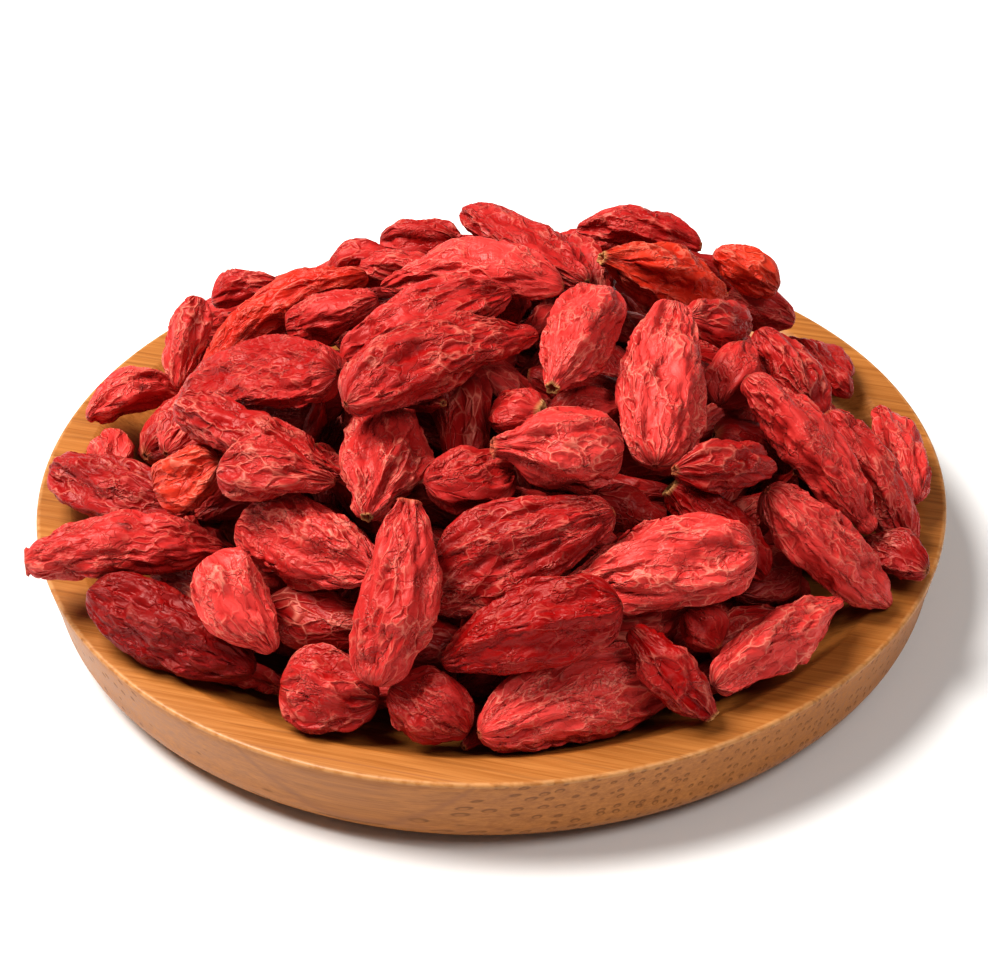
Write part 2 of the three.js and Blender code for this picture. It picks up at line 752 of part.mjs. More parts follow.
const clumps = [];
while (loose.size > 0) {
  const first = [...loose].sort((one, other) => other.position.y - one.position.y)[0];
  clumps.push(growClump(startClump(loose, first), loose, clumpSize));
}
clumps.sort((one, other) => {
  const larger = one.members.length - other.members.length;
  return larger || depthOf(other.members[0]) - depthOf(one.members[0]);
});
while (clumps.length > mostClumps) {
  const spare = new Set(clumps.shift().members);
  for (const host of [inside, ...clumps]) growClump(host, spare, Infinity);
  if (spare.size > 0) throw new Error("a berry touches nothing");
}

addPiece("berries_inside", fuse(inside), "dark", berryRoughness);
clumps.forEach((clump, i) => {
  const name = `berry_clump_${String(i + 1).padStart(2, "0")}`;
  addPiece(name, fuse(clump), clump.members[0].tint, berryRoughness);
});

export default bowl;
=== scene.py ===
# A shallow bamboo dish heaped with dried goji berries
import json
import math

import bmesh
import bpy
import numpy as np
from mathutils import Matrix, Vector
from mathutils.bvhtree import BVHTree


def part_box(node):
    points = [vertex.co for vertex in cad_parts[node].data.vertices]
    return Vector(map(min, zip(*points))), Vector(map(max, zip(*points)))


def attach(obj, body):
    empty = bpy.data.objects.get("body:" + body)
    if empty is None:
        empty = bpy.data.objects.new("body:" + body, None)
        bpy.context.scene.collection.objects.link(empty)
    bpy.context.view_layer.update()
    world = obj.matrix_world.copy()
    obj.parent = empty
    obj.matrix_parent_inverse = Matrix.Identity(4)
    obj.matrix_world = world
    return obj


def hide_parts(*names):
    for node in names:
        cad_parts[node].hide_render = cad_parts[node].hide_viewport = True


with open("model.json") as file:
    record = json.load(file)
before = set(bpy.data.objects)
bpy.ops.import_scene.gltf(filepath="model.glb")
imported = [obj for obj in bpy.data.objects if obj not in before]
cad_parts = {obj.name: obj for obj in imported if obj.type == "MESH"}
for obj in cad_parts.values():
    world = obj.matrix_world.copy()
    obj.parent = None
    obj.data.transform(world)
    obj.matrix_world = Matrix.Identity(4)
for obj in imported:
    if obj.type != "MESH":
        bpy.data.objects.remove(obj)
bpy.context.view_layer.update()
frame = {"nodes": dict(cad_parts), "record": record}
mm = 0.001
print("frame loaded:", len(frame["nodes"]), "solids")


# Small helpers for node trees, used by the skin tree and by every material
def wire(tree, kind, inputs=None, **settings):
    node = tree.nodes.new(kind)
    for name, value in settings.items():
        setattr(node, name, value)
    for key, value in (inputs or {}).items():
        if isinstance(value, bpy.types.NodeSocket):
            tree.links.new(value, node.inputs[key])
        else:
            node.inputs[key].default_value = value
    return node


def calc(tree, operation, *values, clamp=False):
    inputs = dict(enumerate(values))
    return wire(tree, "ShaderNodeMath", inputs, operation=operation, use_clamp=clamp).outputs[0]


def calcVector(tree, operation, *values):
    inputs = dict(enumerate(values))
    return wire(tree, "ShaderNodeVectorMath", inputs, operation=operation).outputs[0]


def ramp(tree, value, low, high, start=0.0, end=1.0):
    inputs = {"Value": value, "From Min": low, "From Max": high, "To Min": start, "To Max": end}
    return wire(tree, "ShaderNodeMapRange", inputs, interpolation_type="SMOOTHSTEP").outputs[0]


def noiseAt(tree, place, scale, detail=2.0, roughness=0.5, output=0):
    inputs = {"Vector": place, "Scale": scale, "Detail": detail, "Roughness": roughness}
    return wire(tree, "ShaderNodeTexNoise", inputs).outputs[output]


def newGroup(name, kind, inputs, outputs):
    tree = bpy.data.node_groups.new(name, kind)
    for label, socketType, value in inputs:
        socket = tree.interface.new_socket(label, in_out="INPUT", socket_type=socketType)
        if value is not None:
            socket.default_value = value
    for label, socketType in outputs:
        tree.interface.new_socket(label, in_out="OUTPUT", socket_type=socketType)
    return tree, tree.nodes.new("NodeGroupInput"), tree.nodes.new("NodeGroupOutput")


# The camera stands at the photograph's angle: eye in mm, angles in degrees, focal length in pixels
cameraSet = {"eye": (0.33, -254.65, 195.67), "down": 36.15, "roll": -1.12, "focal": 3000, "across": 988}


def makeCamera():
    down, roll = math.radians(cameraSet["down"]), math.radians(cameraSet["roll"])
    right = Vector((1, 0, 0))
    up = Vector((0, math.sin(down), math.cos(down)))
    back = Vector((0, -math.cos(down), math.sin(down)))
    x = math.cos(roll) * right + math.sin(roll) * up
    y = -math.sin(roll) * right + math.cos(roll) * up
    turned = Matrix((x, y, back)).transposed().to_4x4()
    data = bpy.data.cameras.new("camera")
    data.lens = cameraSet["focal"] * data.sensor_width / cameraSet["across"]
    data.clip_start = 0.01
    camera = bpy.data.objects.new("camera", data)
    bpy.context.scene.collection.objects.link(camera)
    camera.matrix_world = Matrix.Translation(Vector(cameraSet["eye"]) * mm) @ turned
    bpy.context.scene.camera = camera


makeCamera()
print("camera set")


# Wrinkled skin: a tree folds, creases and wrinkles any berry laid out along its length
skin = {
    "foldDepth": 0.6,  # mm, broad dents
    "hollowDepth": 0.75,  # mm, hollows between sharp folds
    "creaseDepth": 0.35,  # mm, long sharp furrows
    "wrinkleDepth": 0.24,  # mm, raised lines
    "wrinkleSpacing": 1.25,  # mm between the raised lines
    "stretch": 0.45,  # width of the net's cells over their length
    "wander": (5.0, 2.6, 2.6),  # mm that the pattern drifts along and across a berry
    "ridgeWidth": 0.3,  # foot of a raised line, in shares of the spacing
    "lineWidth": 0.07,  # pale line on its crest, in the same shares
    "fineLineWidth": 0.03,
    "growth": 0.22,  # mm, what the skin stands over its solid
    "neckAngle": 0.6,  # radians, the sharp inside edge round a stuck spot
    "seed": 11,
}


# Bends the pattern's place, so that its lines wander
def wander(tree, place):
    drift = noiseAt(tree, place, 0.5, 2.5, 0.6, output=1)
    drift = calcVector(tree, "SUBTRACT", drift, (0.5, 0.5, 0.5))
    drift = calcVector(tree, "MULTIPLY", drift, skin["wander"])
    return calcVector(tree, "ADD", place, drift)


# A loose net of wrinkles, drawn out along the berry: how far a point lies from the nearest ridge
# line, in shares of the spacing. The skin tree raises the lines and the materials lighten them.
def wrinkleNet(tree, place, spacing, stretch):
    squeeze = wire(tree, "ShaderNodeCombineXYZ", {0: stretch, 1: 1.0, 2: 1.0}).outputs[0]
    cells = {
        "Vector": calcVector(tree, "MULTIPLY", place, squeeze),
        "Scale": calc(tree, "DIVIDE", 1.0, spacing),
    }
    return wire(tree, "ShaderNodeTexVoronoi", cells, feature="DISTANCE_TO_EDGE").outputs["Distance"]


# Where the net shows: it fades in and out over the skin
def netPatch(tree, place):
    return ramp(tree, noiseAt(tree, place, 0.26, 2.0), 0.38, 0.58, 0.08, 1.0)


def makeSkinTree():
    inputs = [
        ("Berries", "NodeSocketGeometry", None),
        ("Fold Depth", "NodeSocketFloat", skin["foldDepth"]),
        ("Hollow Depth", "NodeSocketFloat", skin["hollowDepth"]),
        ("Crease Depth", "NodeSocketFloat", skin["creaseDepth"]),
        ("Wrinkle Depth", "NodeSocketFloat", skin["wrinkleDepth"]),
        ("Wrinkle Spacing", "NodeSocketFloat", skin["wrinkleSpacing"]),
        ("Stretch", "NodeSocketFloat", skin["stretch"]),
        ("Finish", "NodeSocketMaterial", None),
    ]
    tree, given, result = newGroup(
        "wrinkledSkin", "GeometryNodeTree", inputs, [("Berries", "NodeSocketGeometry")]
    )
    tree.is_modifier = True

    def named(name, kind="FLOAT"):
        node = wire(tree, "GeometryNodeInputNamedAttribute", {"Name": name}, data_type=kind)
        return node.outputs[0]

    def store(geometry, name, value, kind="FLOAT"):
        inputs = {"Geometry": geometry, "Name": name, "Value": value}
        node = wire(tree, "GeometryNodeStoreNamedAttribute", inputs, data_type=kind, domain="POINT")
        return node.outputs[0]

    place = named("skinPlace", "FLOAT_VECTOR")
    fade = named("skinFade")
    shrivel = named("shrivel")

    wandering = wander(tree, place)
    net = wrinkleNet(tree, wandering, given.outputs["Wrinkle Spacing"], given.outputs["Stretch"])
    netShown = calc(tree, "MULTIPLY", netPatch(tree, place), shrivel)
    crest = calc(tree, "MULTIPLY", ramp(tree, net, 0.0, skin["ridgeWidth"], 1.0, 0.0), netShown)

    # furrows, and broad dents that take the roundness off
    furrow = noiseAt(tree, calcVector(tree, "MULTIPLY", wandering, (0.42, 1.0, 1.0)), 0.33, 1.0)
    furrow = calc(tree, "ABSOLUTE", calc(tree, "SUBTRACT", furrow, 0.5))
    furrow = ramp(tree, furrow, 0.0, 0.055, 1.0, 0.0)
    dent = noiseAt(tree, calcVector(tree, "MULTIPLY", place, (0.62, 1.0, 1.0)), 0.36, 1.5)
    dent = ramp(tree, dent, 0.3, 0.62, 1.0, 0.0)
    folds = wire(
        tree,
        "ShaderNodeTexVoronoi",
        {"Vector": calcVector(tree, "MULTIPLY", wandering, (0.5, 1.0, 1.0)), "Scale": 0.3},
    )
    hollow = calc(tree, "MULTIPLY_ADD", folds.outputs["Distance"], -1.35, 1.0, clamp=True)
    hollow = calc(tree, "MULTIPLY", hollow, shrivel)

    lift = calc(tree, "MULTIPLY", crest, given.outputs["Wrinkle Depth"])
    for sunk, depth in ((furrow, "Crease Depth"), (dent, "Fold Depth"), (hollow, "Hollow Depth")):
        lift = calc(tree, "SUBTRACT", lift, calc(tree, "MULTIPLY", sunk, given.outputs[depth]))
    lift = calc(tree, "MULTIPLY", calc(tree, "MULTIPLY", lift, fade), mm)
    normal = wire(tree, "GeometryNodeInputNormal").outputs[0]
    outward = {0: normal, "Scale": lift}
    offset = wire(tree, "ShaderNodeVectorMath", outward, operation="SCALE").outputs[0]

    # masks and bent places that the berry materials read
    finePlace = wander(tree, calcVector(tree, "ADD", place, (31.0, 7.0, 3.0)))
    patches = noiseAt(tree, place, 0.4, 2.0)
    dots = wire(tree, "ShaderNodeTexVoronoi", {"Vector": wandering, "Scale": 0.16}).outputs["Distance"]
    masks = {
        "crest": crest,
        "furrow": furrow,
        "dent": dent,
        "netShown": netShown,
        "fineShown": ramp(tree, patches, 0.46, 0.62),
        "dusty": ramp(tree, patches, 0.42, 0.66),
        "mottle": noiseAt(tree, calcVector(tree, "MULTIPLY", place, (0.45, 1.0, 1.0)), 0.5, 3.0, 0.6),
        "specks": ramp(tree, dots, 0.04, 0.07, 1.0, 0.0),
    }
    berries = given.outputs["Berries"]
    for name, value in masks.items():
        berries = store(berries, name, value)
    berries = store(berries, "netPlace", wandering, "FLOAT_VECTOR")
    berries = store(berries, "finePlace", finePlace, "FLOAT_VECTOR")
    berries = wire(tree, "GeometryNodeSetPosition", {"Geometry": berries, "Offset": offset}).outputs[0]
    berries = wire(tree, "GeometryNodeRealizeInstances", {"Geometry": berries}).outputs[0]
    finish = {"Geometry": berries, "Material": given.outputs["Finish"]}
    berries = wire(tree, "GeometryNodeSetMaterial", finish).outputs[0]
    tree.links.new(berries, result.inputs[0])
    return tree


# Colours and finish of the three kinds of berry
berryTones = {
    "berry_red": {"deep": (0.3, 0.0012, 0.0012, 1), "bright": (0.72, 0.056, 0.049, 1)},
    "berry_orange": {"deep": (0.45, 0.006, 0.002, 1), "bright": (0.75, 0.074, 0.026, 1)},
    "berry_dark": {"deep": (0.2, 0.0014, 0.0016, 1), "bright": (0.5, 0.014, 0.013, 1)},
}
berryFinish = {
    "crestColour": (0.95, 0.36, 0.25, 1),
    # near black red of the painted shade in the creases and on the darkest berries
    "paintedShadeColour": (0.1, 0.001, 0.001, 1),
    "bloomColour": (0.9, 0.36, 0.3, 1),
    "rimColour": (0.6, 0.34, 0.13, 1),
    "sheenColour": (1.0, 0.72, 0.68, 1),
    "speckColour": (0.03, 0.004, 0.003, 1),
    "roughness": (0.36, 0.52),
    "sheen": 0.32,  # strength of the gloss
    "relief": 0.2,  # mm, height of the fine relief that the material draws
    "mottled": 0.8,  # how much the tone varies over a berry
    # the per-berry lightness holds painted light and shade as well as each berry's own tone
    "lightness": 0.9,  # how much it varies between berries
    # how dark the painted shade in the furrows is
    "furrowShadeDepth": 0.5,  # how dark the furrows are
    "creaseShadeDepth": 0.14,
    "speckTone": 0.7,
}
detailMasks = ("Bloom", "Lines", "Creases", "Height")


def makeSkinGroup():
    inputs = [
        ("Speck Size", "NodeSocketFloat", 1.0),
        ("Wrinkle Spacing", "NodeSocketFloat", skin["wrinkleSpacing"]),
        ("Stretch", "NodeSocketFloat", skin["stretch"]),
    ]
    outputs = [(name, "NodeSocketFloat") for name in detailMasks]
    tree, given, result = newGroup("driedSkinDetail", "ShaderNodeTree", inputs, outputs)

    def stored(name, output="Fac"):
        return wire(tree, "ShaderNodeAttribute", attribute_name=name).outputs[output]

    place, netPlace = stored("skinPlace", "Vector"), stored("netPlace", "Vector")
    spacing = given.outputs["Wrinkle Spacing"]
    net = wrinkleNet(tree, netPlace, spacing, given.outputs["Stretch"])
    lines = ramp(tree, net, 0.0, skin["lineWidth"], 1.0, 0.0)
    lines = calc(tree, "MULTIPLY", lines, stored("netShown"))
    # finer lines between them, in other places
    finePlace = calcVector(tree, "MULTIPLY", stored("finePlace", "Vector"), (0.6, 1.0, 1.0))
    fineNoise = noiseAt(tree, finePlace, calc(tree, "DIVIDE", 2.0, spacing), 0.0)
    fineNet = calc(tree, "ABSOLUTE", calc(tree, "SUBTRACT", fineNoise, 0.5))
    fineLines = ramp(tree, fineNet, 0.0, skin["fineLineWidth"], 1.0, 0.0)
    fineLines = calc(tree, "MULTIPLY", fineLines, stored("fineShown"))
    lines = calc(tree, "MAXIMUM", lines, calc(tree, "MULTIPLY", fineLines, 0.55))
    speck = noiseAt(tree, place, calc(tree, "DIVIDE", 4.2, given.outputs["Speck Size"]), 2.0, 0.7)
    bloom = calc(tree, "MULTIPLY", ramp(tree, speck, 0.5, 0.72), stored("dusty"))
    creases = noiseAt(tree, calcVector(tree, "MULTIPLY", netPlace, (0.4, 1.0, 1.0)), 0.9, 0.0)
    creases = calc(tree, "ABSOLUTE", calc(tree, "SUBTRACT", creases, 0.5))
    creases = ramp(tree, creases, 0.0, 0.05, 1.0, 0.0)
    height = calc(tree, "MULTIPLY", ramp(tree, net, 0.0, 0.28, 1.0, 0.0), stored("netShown"))
    fineHeight = calc(tree, "MULTIPLY", ramp(tree, fineNet, 0.0, 0.1, 1.0, 0.0), stored("fineShown"))
    height = calc(tree, "MULTIPLY_ADD", fineHeight, 0.5, height)
    height = calc(tree, "MULTIPLY_ADD", creases, -0.2, height)
    height = calc(tree, "MULTIPLY_ADD", noiseAt(tree, place, 7.0, 1.0, 0.6), 0.14, height)
    for name, value in zip(detailMasks, (bloom, lines, creases, height)):
        tree.links.new(value, result.inputs[name])
    return tree


def blendColour(tree, share, one, other):
    node = wire(tree, "ShaderNodeMix", {0: share}, data_type="RGBA")
    for socket, value in ((node.inputs[6], one), (node.inputs[7], other)):
        if isinstance(value, bpy.types.NodeSocket):
            tree.links.new(value, socket)
        else:
            socket.default_value = value
    return node.outputs[2]


def makeBerryMaterial(slot, detail):
    tones = berryTones[slot]
    material = bpy.data.materials.new(slot + "_skin")
    material.use_nodes = True
    tree = material.node_tree
    tree.nodes.clear()

    def mask(name):
        return wire(tree, "ShaderNodeAttribute", attribute_name=name).outputs["Fac"]

    parts = wire(tree, "ShaderNodeGroup", node_tree=detail)
    crest, furrow, dent, tint = mask("crest"), mask("furrow"), mask("dent"), mask("tint")
    rim, mottle = mask("mouthRim"), mask("mottle")
    mottled = berryFinish["mottled"]
    share = calc(tree, "MULTIPLY_ADD", mottle, mottled, -mottled / 2)
    share = calc(tree, "MULTIPLY_ADD", tint, berryFinish["lightness"], share)
    # darker in the broad dents: painted shade
    share = calc(tree, "MULTIPLY_ADD", dent, -0.18, share, clamp=True)
    colour = blendColour(tree, share, tones["deep"], tones["bright"])
    # berries with a lightness below 0 are pulled towards a near black red: painted shade
    shaded = calc(tree, "MULTIPLY", tint, -1.0, clamp=True)
    colour = blendColour(tree, shaded, colour, berryFinish["paintedShadeColour"])
    # pale ridge lines and dusty bloom, both stronger on light berries
    worn = calc(tree, "MULTIPLY", parts.outputs["Lines"], calc(tree, "MULTIPLY_ADD", tint, 0.36, 0.16))
    worn = calc(tree, "MULTIPLY_ADD", ramp(tree, crest, 0.4, 0.9), 0.1, worn)
    colour = blendColour(tree, worn, colour, berryFinish["crestColour"])
    dusty = calc(tree, "MULTIPLY", parts.outputs["Bloom"], calc(tree, "MULTIPLY_ADD", tint, 0.4, 0.1))
    colour = blendColour(tree, dusty, colour, berryFinish["bloomColour"])
    # darker in the furrows, towards the deep tone: painted shade
    furrow = calc(tree, "MULTIPLY", furrow, berryFinish["furrowShadeDepth"])
    colour = blendColour(tree, furrow, colour, tones["deep"])
    # darker along the thin creases: painted shade
    creaseShade = calc(tree, "MULTIPLY", parts.outputs["Creases"], berryFinish["creaseShadeDepth"])
    colour = blendColour(tree, creaseShade, colour, berryFinish["paintedShadeColour"])
    specks = calc(tree, "MULTIPLY", mask("specks"), berryFinish["speckTone"])
    colour = blendColour(tree, specks, colour, berryFinish["speckColour"])
    colour = blendColour(tree, rim, colour, berryFinish["rimColour"])
    low, high = berryFinish["roughness"]
    roughness = ramp(tree, mottle, 0.3, 0.7, low, high)
    relief = {"Strength": 1.0, "Distance": berryFinish["relief"] * mm, "Height": parts.outputs["Height"]}
    bump = wire(tree, "ShaderNodeBump", relief)
    surface = wire(
        tree,
        "ShaderNodeBsdfPrincipled",
        {
            "Base Color": colour,
            "Roughness": roughness,
            "Normal": bump.outputs[0],
            "Specular IOR Level": berryFinish["sheen"],
            "Specular Tint": berryFinish["sheenColour"],
        },
    )
    output = wire(tree, "ShaderNodeOutputMaterial")
    tree.links.new(surface.outputs[0], output.inputs[0])
    return material


# Berries: each solid is read, split at its stuck spots and laid out anew along its length
berrySet = {
    # mm between points round and along a berry
    "grain": {"named": (0.2, 0.36), "clump": (0.31, 0.52), "gap": (0.45, 0.8), "inside": (0.85, 1.3)},
    "flatSides": 5,
    "mouth": (0.3, 0.55),  # mm, radius of the scar that the calyx leaves
    "flatNear": (0.8, 1.02),  # how near the axis the flat sides lie, in shares of the reach
    # rings over the rim of the scar and down into it: radius and step in shares of the scar's, paleness
    "scar": ((1.0, 0.0, 0.6), (0.86, 0.16, 1.0), (0.66, 0.1, 1.0), (0.5, -0.25, 0.5), (0.3, -0.6, 0)),
}
# how light the berries in view are, from 0 to 1, or below 0 for dark ones; the others are drawn. Each
# value matches how light the berry looks, so it holds the berry's own tone together with painted light
# and shade, and below 0 it pulls the colour towards painted shade
lightness = {
    "berry_01": 0.35,
    "berry_02": 0.3,
    "berry_04": 0.4,
    "berry_06": 0.35,
    "berry_09": 0.95,
    "berry_11": 0.5,
    "berry_12": 0.3,
    "berry_13": 0.3,
    "berry_14": 0.3,
    "berry_15": 0.3,
    "berry_16": 0.65,
    "berry_17": 0.95,
    "berry_18": 1.0,
    "berry_19": 0.35,
    "berry_20": 0.75,
    "berry_24": 0.5,
    "berry_25": 1.1,
    "berry_28": 0.35,
    "berry_29": 0.55,
    "berry_30": 0.55,
    "berry_31": -0.5,
    "berry_32": 1.2,
    "berry_33": 0.6,
    "berry_35": 0.95,
    "berry_36": 0.0,
    "berry_37": 1.3,
    "berry_38": 0.4,
    "berry_39": 0.35,
    "berry_40": 0.95,
    "berry_41": 0.95,
    "berry_42": 0.2,
    "berry_43": 0.0,
    "berry_44": 0.5,
    "berry_45": 0.1,
}
# which end shows its calyx scar, how wide it is in mm, and how pale its rim is
mouths = {
    "berry_07": ("left", 0.7, 0.8),
    "berry_16": ("front", 0.6, 0.9),
    "berry_17": ("front", 0.7, 1.0),
    "berry_19": ("right", 1.05, 1.0),
    "berry_20": ("left", 0.95, 0.25),
    "berry_26": ("left", 0.9, 0.3),
    "berry_29": ("left", 1.3, 0.1),
    "berry_31": ("left", 0.5, 0.3),
    "berry_33": ("back", 1.2, 0.2),
    "berry_43": ("left", 0.9, 0.9),
    "berry_45": ("front", 0.8, 1.0),
}
sideWays = {"left": (-1, 0, 0), "right": (1, 0, 0), "front": (0, -1, 0), "back": (0, 1, 0)}


def splitSolid(node):
    solid = bmesh.new()
    solid.from_mesh(frame["nodes"][node].data)
    bmesh.ops.remove_doubles(solid, verts=solid.verts, dist=0.002 * mm)
    solid.faces.ensure_lookup_table()
    solid.faces.index_update()
    seen = [False] * len(solid.faces)
    found = []
    for first in range(len(seen)):
        if seen[first]:
            continue
        seen[first] = True
        front, corners = [first], {}
        while front:
            face = solid.faces[front.pop()]
            for vert in face.verts:
                corners[vert.index] = tuple(vert.co)
            for edge in face.edges:
                if edge.calc_face_angle_signed(0) < -skin["neckAngle"]:
                    continue
                for other in edge.link_faces:
                    if not seen[other.index]:
                        seen[other.index] = True
                        front.append(other.index)
        points = np.array([corners[key] for key in sorted(corners)]) / mm
        if len(points) > 15 and np.ptp(points, axis=0).max() > 4.0:
            found.append(points)
    solid.free()
    return found


# Half width of a berry along its length before its ends close, from the curve fitted to its solid
def sizeAt(size, usual, share):
    return np.clip(np.polyval(size, np.clip(share, -0.92, 0.92)), 0.7 * usual, 1.35 * usual)


# The berry's own frame, bow and section, from the corners of its solid
def readBerry(points):
    centred = points - points.mean(0)
    axis = np.linalg.svd(centred, full_matrices=False)[2][0]
    along = centred @ axis
    tail, head = points[along.argmin()], points[along.argmax()]
    length = np.linalg.norm(head - tail)
    axis = (head - tail) / length
    middle = (head + tail) / 2
    local = points - middle
    share = np.clip(2 * (local @ axis) / length, -1, 1)
    arch = 1 - share**2
    side = np.cross(axis, (0, 0, 1) if abs(axis[2]) < 0.9 else (1, 0, 0))
    side /= np.linalg.norm(side)
    plane = np.array([side, np.cross(axis, side)])
    flat = local @ plane.T
    bow = (arch @ flat) / (arch @ arch)
    flat = flat - arch[:, None] * bow
    inner = arch > 0.2
    level = flat[inner] / np.sqrt(arch[inner])[:, None]
    spread, ways = np.linalg.eigh(level.T @ level / len(level))
    wide, thin = ways[:, 1] @ plane, ways[:, 0] @ plane
    if thin[2] < 0:
        thin = -thin
    bow = bow @ plane
    squeeze = math.sqrt(spread[0] / spread[1])
    rest = local - arch[:, None] * bow
    across, over = rest @ wide, rest @ thin / squeeze
    reach = np.hypot(across, over)
    girth = reach[inner] / np.sqrt(arch[inner])
    usual = float(np.median(girth))
    near = np.abs(girth / usual - 1) < 0.45  # leaves out corners that belong to a stuck neighbour
    size = np.polyfit(share[inner][near], girth[near], 3 if near.sum() > 30 else 1)
    size = np.concatenate([np.zeros(4 - len(size)), size])
    usual = sizeAt(size, usual, share) * np.sqrt(np.maximum(arch, 1e-6))
    ratio = np.where(arch > 0.05, np.clip(reach / np.maximum(usual, 0.1), 0.85, 1.15), 1)
    return {
        "middle": middle,
        "axis": axis,
        "wide": wide,
        "thin": thin,
        "length": length,
        "bow": bow,
        "squeeze": squeeze,
        "size": size,
        "usual": float(np.median(girth)),
        "corners": np.column_stack([share * length / 2, np.arctan2(over, across), ratio]),
    }


# How far the skin stands from the berry's axis, lumps of its solid included
def skinReach(berry, share, turn):
    reach = sizeAt(berry["size"], berry["usual"], share) * np.sqrt(np.maximum(1 - share**2, 0))
    mean = max(berry["usual"], 1)
    spots = berry["corners"]
    gapAlong = (share * berry["length"] / 2)[:, None] - spots[:, 0]
    gapRound = (turn[:, None] - spots[:, 1] + math.pi) % (2 * math.pi) - math.pi
    weight = np.exp(-(gapAlong**2 + (gapRound * mean) ** 2) / 2.0)
    ratio = (weight @ spots[:, 2] + 0.02) / (weight.sum(1) + 0.02)
    # flat sides with blunt edges between them, as dried fruit shrinks
    limit = np.full(len(share), 1.25)
    for way, near, slant in berry["flats"]:
        facing = np.maximum(np.cos(turn - way - 0.5 * share), 0.25)
        limit = np.minimum(limit, np.clip(near + slant * share, 0.6, 1.1) / facing)
    return reach * ratio * np.minimum(limit, 1.0 + 0.12 * (limit - 1.0))


def drawFlats(draw):
    count = berrySet["flatSides"]
    ways = 2 * math.pi * (np.arange(count) + draw.uniform(-0.35, 0.35, count)) / count
    ways = ways + 6 * draw.random()
    near = draw.uniform(*berrySet["flatNear"], count)
    return list(zip(ways, near, draw.uniform(-0.16, 0.16, count)))


def layBerry(berry, level, mouth, rimShare, draw):
    acrossGrain, alongGrain = berrySet["grain"][level]
    berry["flats"] = drawFlats(draw)
    girth = math.pi * berry["usual"] * (1 + berry["squeeze"])
    sides = max(12, round(girth / acrossGrain))
    rings = max(8, round(berry["length"] / alongGrain))
    turn = np.arange(sides) * 2 * math.pi / sides
    shares = -np.cos(np.linspace(0, math.pi, rings + 1))[1:-1]
    grid, turns = np.repeat(shares, sides), np.tile(turn, len(shares))
    reach = skinReach(berry, grid, turns).reshape(len(shares), sides) + skin["growth"]
    kept = [i for i, s in enumerate(shares) if s < 0.5 or reach[i].mean() > mouth * 1.05]
    shares, reach = shares[kept], reach[kept]
    half = berry["length"] / 2
    places = list(shares * half)
    lobes = 1 + 0.16 * np.cos(5 * turn + 6 * draw.random()) + 0.08 * np.cos(3 * turn + 6 * draw.random())
    radii = list(reach)
    edge = min(places[-1] + 0.25, half)
    rim = [0.0] * len(places)
    for out, step, pale in berrySet["scar"]:
        places.append(edge + step * mouth)
        radii.append(mouth * out * lobes)
        rim.append(pale * rimShare)
    places, radii, rim = np.array(places), np.array(radii), np.array(rim)
    arch = np.maximum(1 - (places / half) ** 2, 0)[:, None, None]
    base = berry["middle"] + places[:, None, None] * berry["axis"] + arch * berry["bow"]
    flat = min(1, berry["squeeze"])
    squeeze = flat + (1 - flat) * np.clip((places / half - 0.75) / 0.25, 0, 1)
    skinPoints = (
        base
        + (radii * np.cos(turn))[:, :, None] * berry["wide"]
        + (radii * np.sin(turn) * squeeze[:, None])[:, :, None] * berry["thin"]
    )
    mean = max(berry["usual"], 1)
    shift = draw.random(3) * 400
    coordinate = np.empty(skinPoints.shape)
    coordinate[..., 0] = places[:, None]
    coordinate[..., 1] = mean * np.cos(turn)
    coordinate[..., 2] = mean * np.sin(turn)
    coordinate += shift
    room = np.clip((1 - np.abs(places) / half) / 0.16, 0, 1)
    scarRings = len(berrySet["scar"])
    room[-scarRings:] = 0
    fade = np.repeat(room * room * (3 - 2 * room) * 0.9 + 0.1, sides)
    fade[-scarRings * sides :] = 0
    tail = berry["middle"] - half * berry["axis"]
    pit = base[-1, 0] - 0.1 * berry["axis"]
    count = len(places)
    faces = []
    for j in range(count - 1):
        low, high = j * sides, (j + 1) * sides
        for i in range(sides):
            k = (i + 1) % sides
            faces.append((low + i, low + k, high + k, high + i))
    tailIndex, pitIndex = count * sides, count * sides + 1
    last = (count - 1) * sides
    for i in range(sides):
        k = (i + 1) % sides
        faces.append((tailIndex, k, i))
        faces.append((pitIndex, last + i, last + k))
    ends = np.array([[-half, 0, 0], [places[-1], 0, 0]]) + shift
    return {
        "points": np.vstack([skinPoints.reshape(-1, 3), tail, pit]),
        "faces": faces,
        "skinPlace": np.vstack([coordinate.reshape(-1, 3), ends]),
        "skinFade": np.append(fade, [0.0, 0.0]),
        "mouthRim": np.append(np.repeat(rim, sides), [0.0, 0.0]),
    }


def joinBerries(name, laid, draw):
    points, faces = [], []
    fields = {key: [] for key in ("skinPlace", "skinFade", "mouthRim", "tint", "shrivel")}
    start = 0
    for part in laid:
        count = len(part["points"])
        points.append(part["points"])
        faces += [tuple(corner + start for corner in face) for face in part["faces"]]
        for key in ("skinPlace", "skinFade", "mouthRim"):
            fields[key].append(part[key])
        # lightness from the table, painted light and shade included, else a drawn tone
        tint = lightness.get(name.removesuffix("_dried"), draw.uniform(0.3, 0.8))
        fields["tint"].append(np.full(count, tint))
        fields["shrivel"].append(np.full(count, 0.6 + 0.4 * draw.random()))
        start += count
    mesh = bpy.data.meshes.new(name)
    mesh.from_pydata((np.vstack(points) * mm).tolist(), [], faces)
    for key, rows in fields.items():
        values = np.concatenate(rows).astype(np.float32)
        kind = "FLOAT_VECTOR" if values.ndim == 2 else "FLOAT"
        attribute = mesh.attributes.new(key, kind, "POINT")
        attribute.data.foreach_set("vector" if values.ndim == 2 else "value", values.ravel())
    mesh.shade_smooth()
    piece = bpy.data.objects.new(name, mesh)
    bpy.context.scene.collection.objects.link(piece)
    return piece


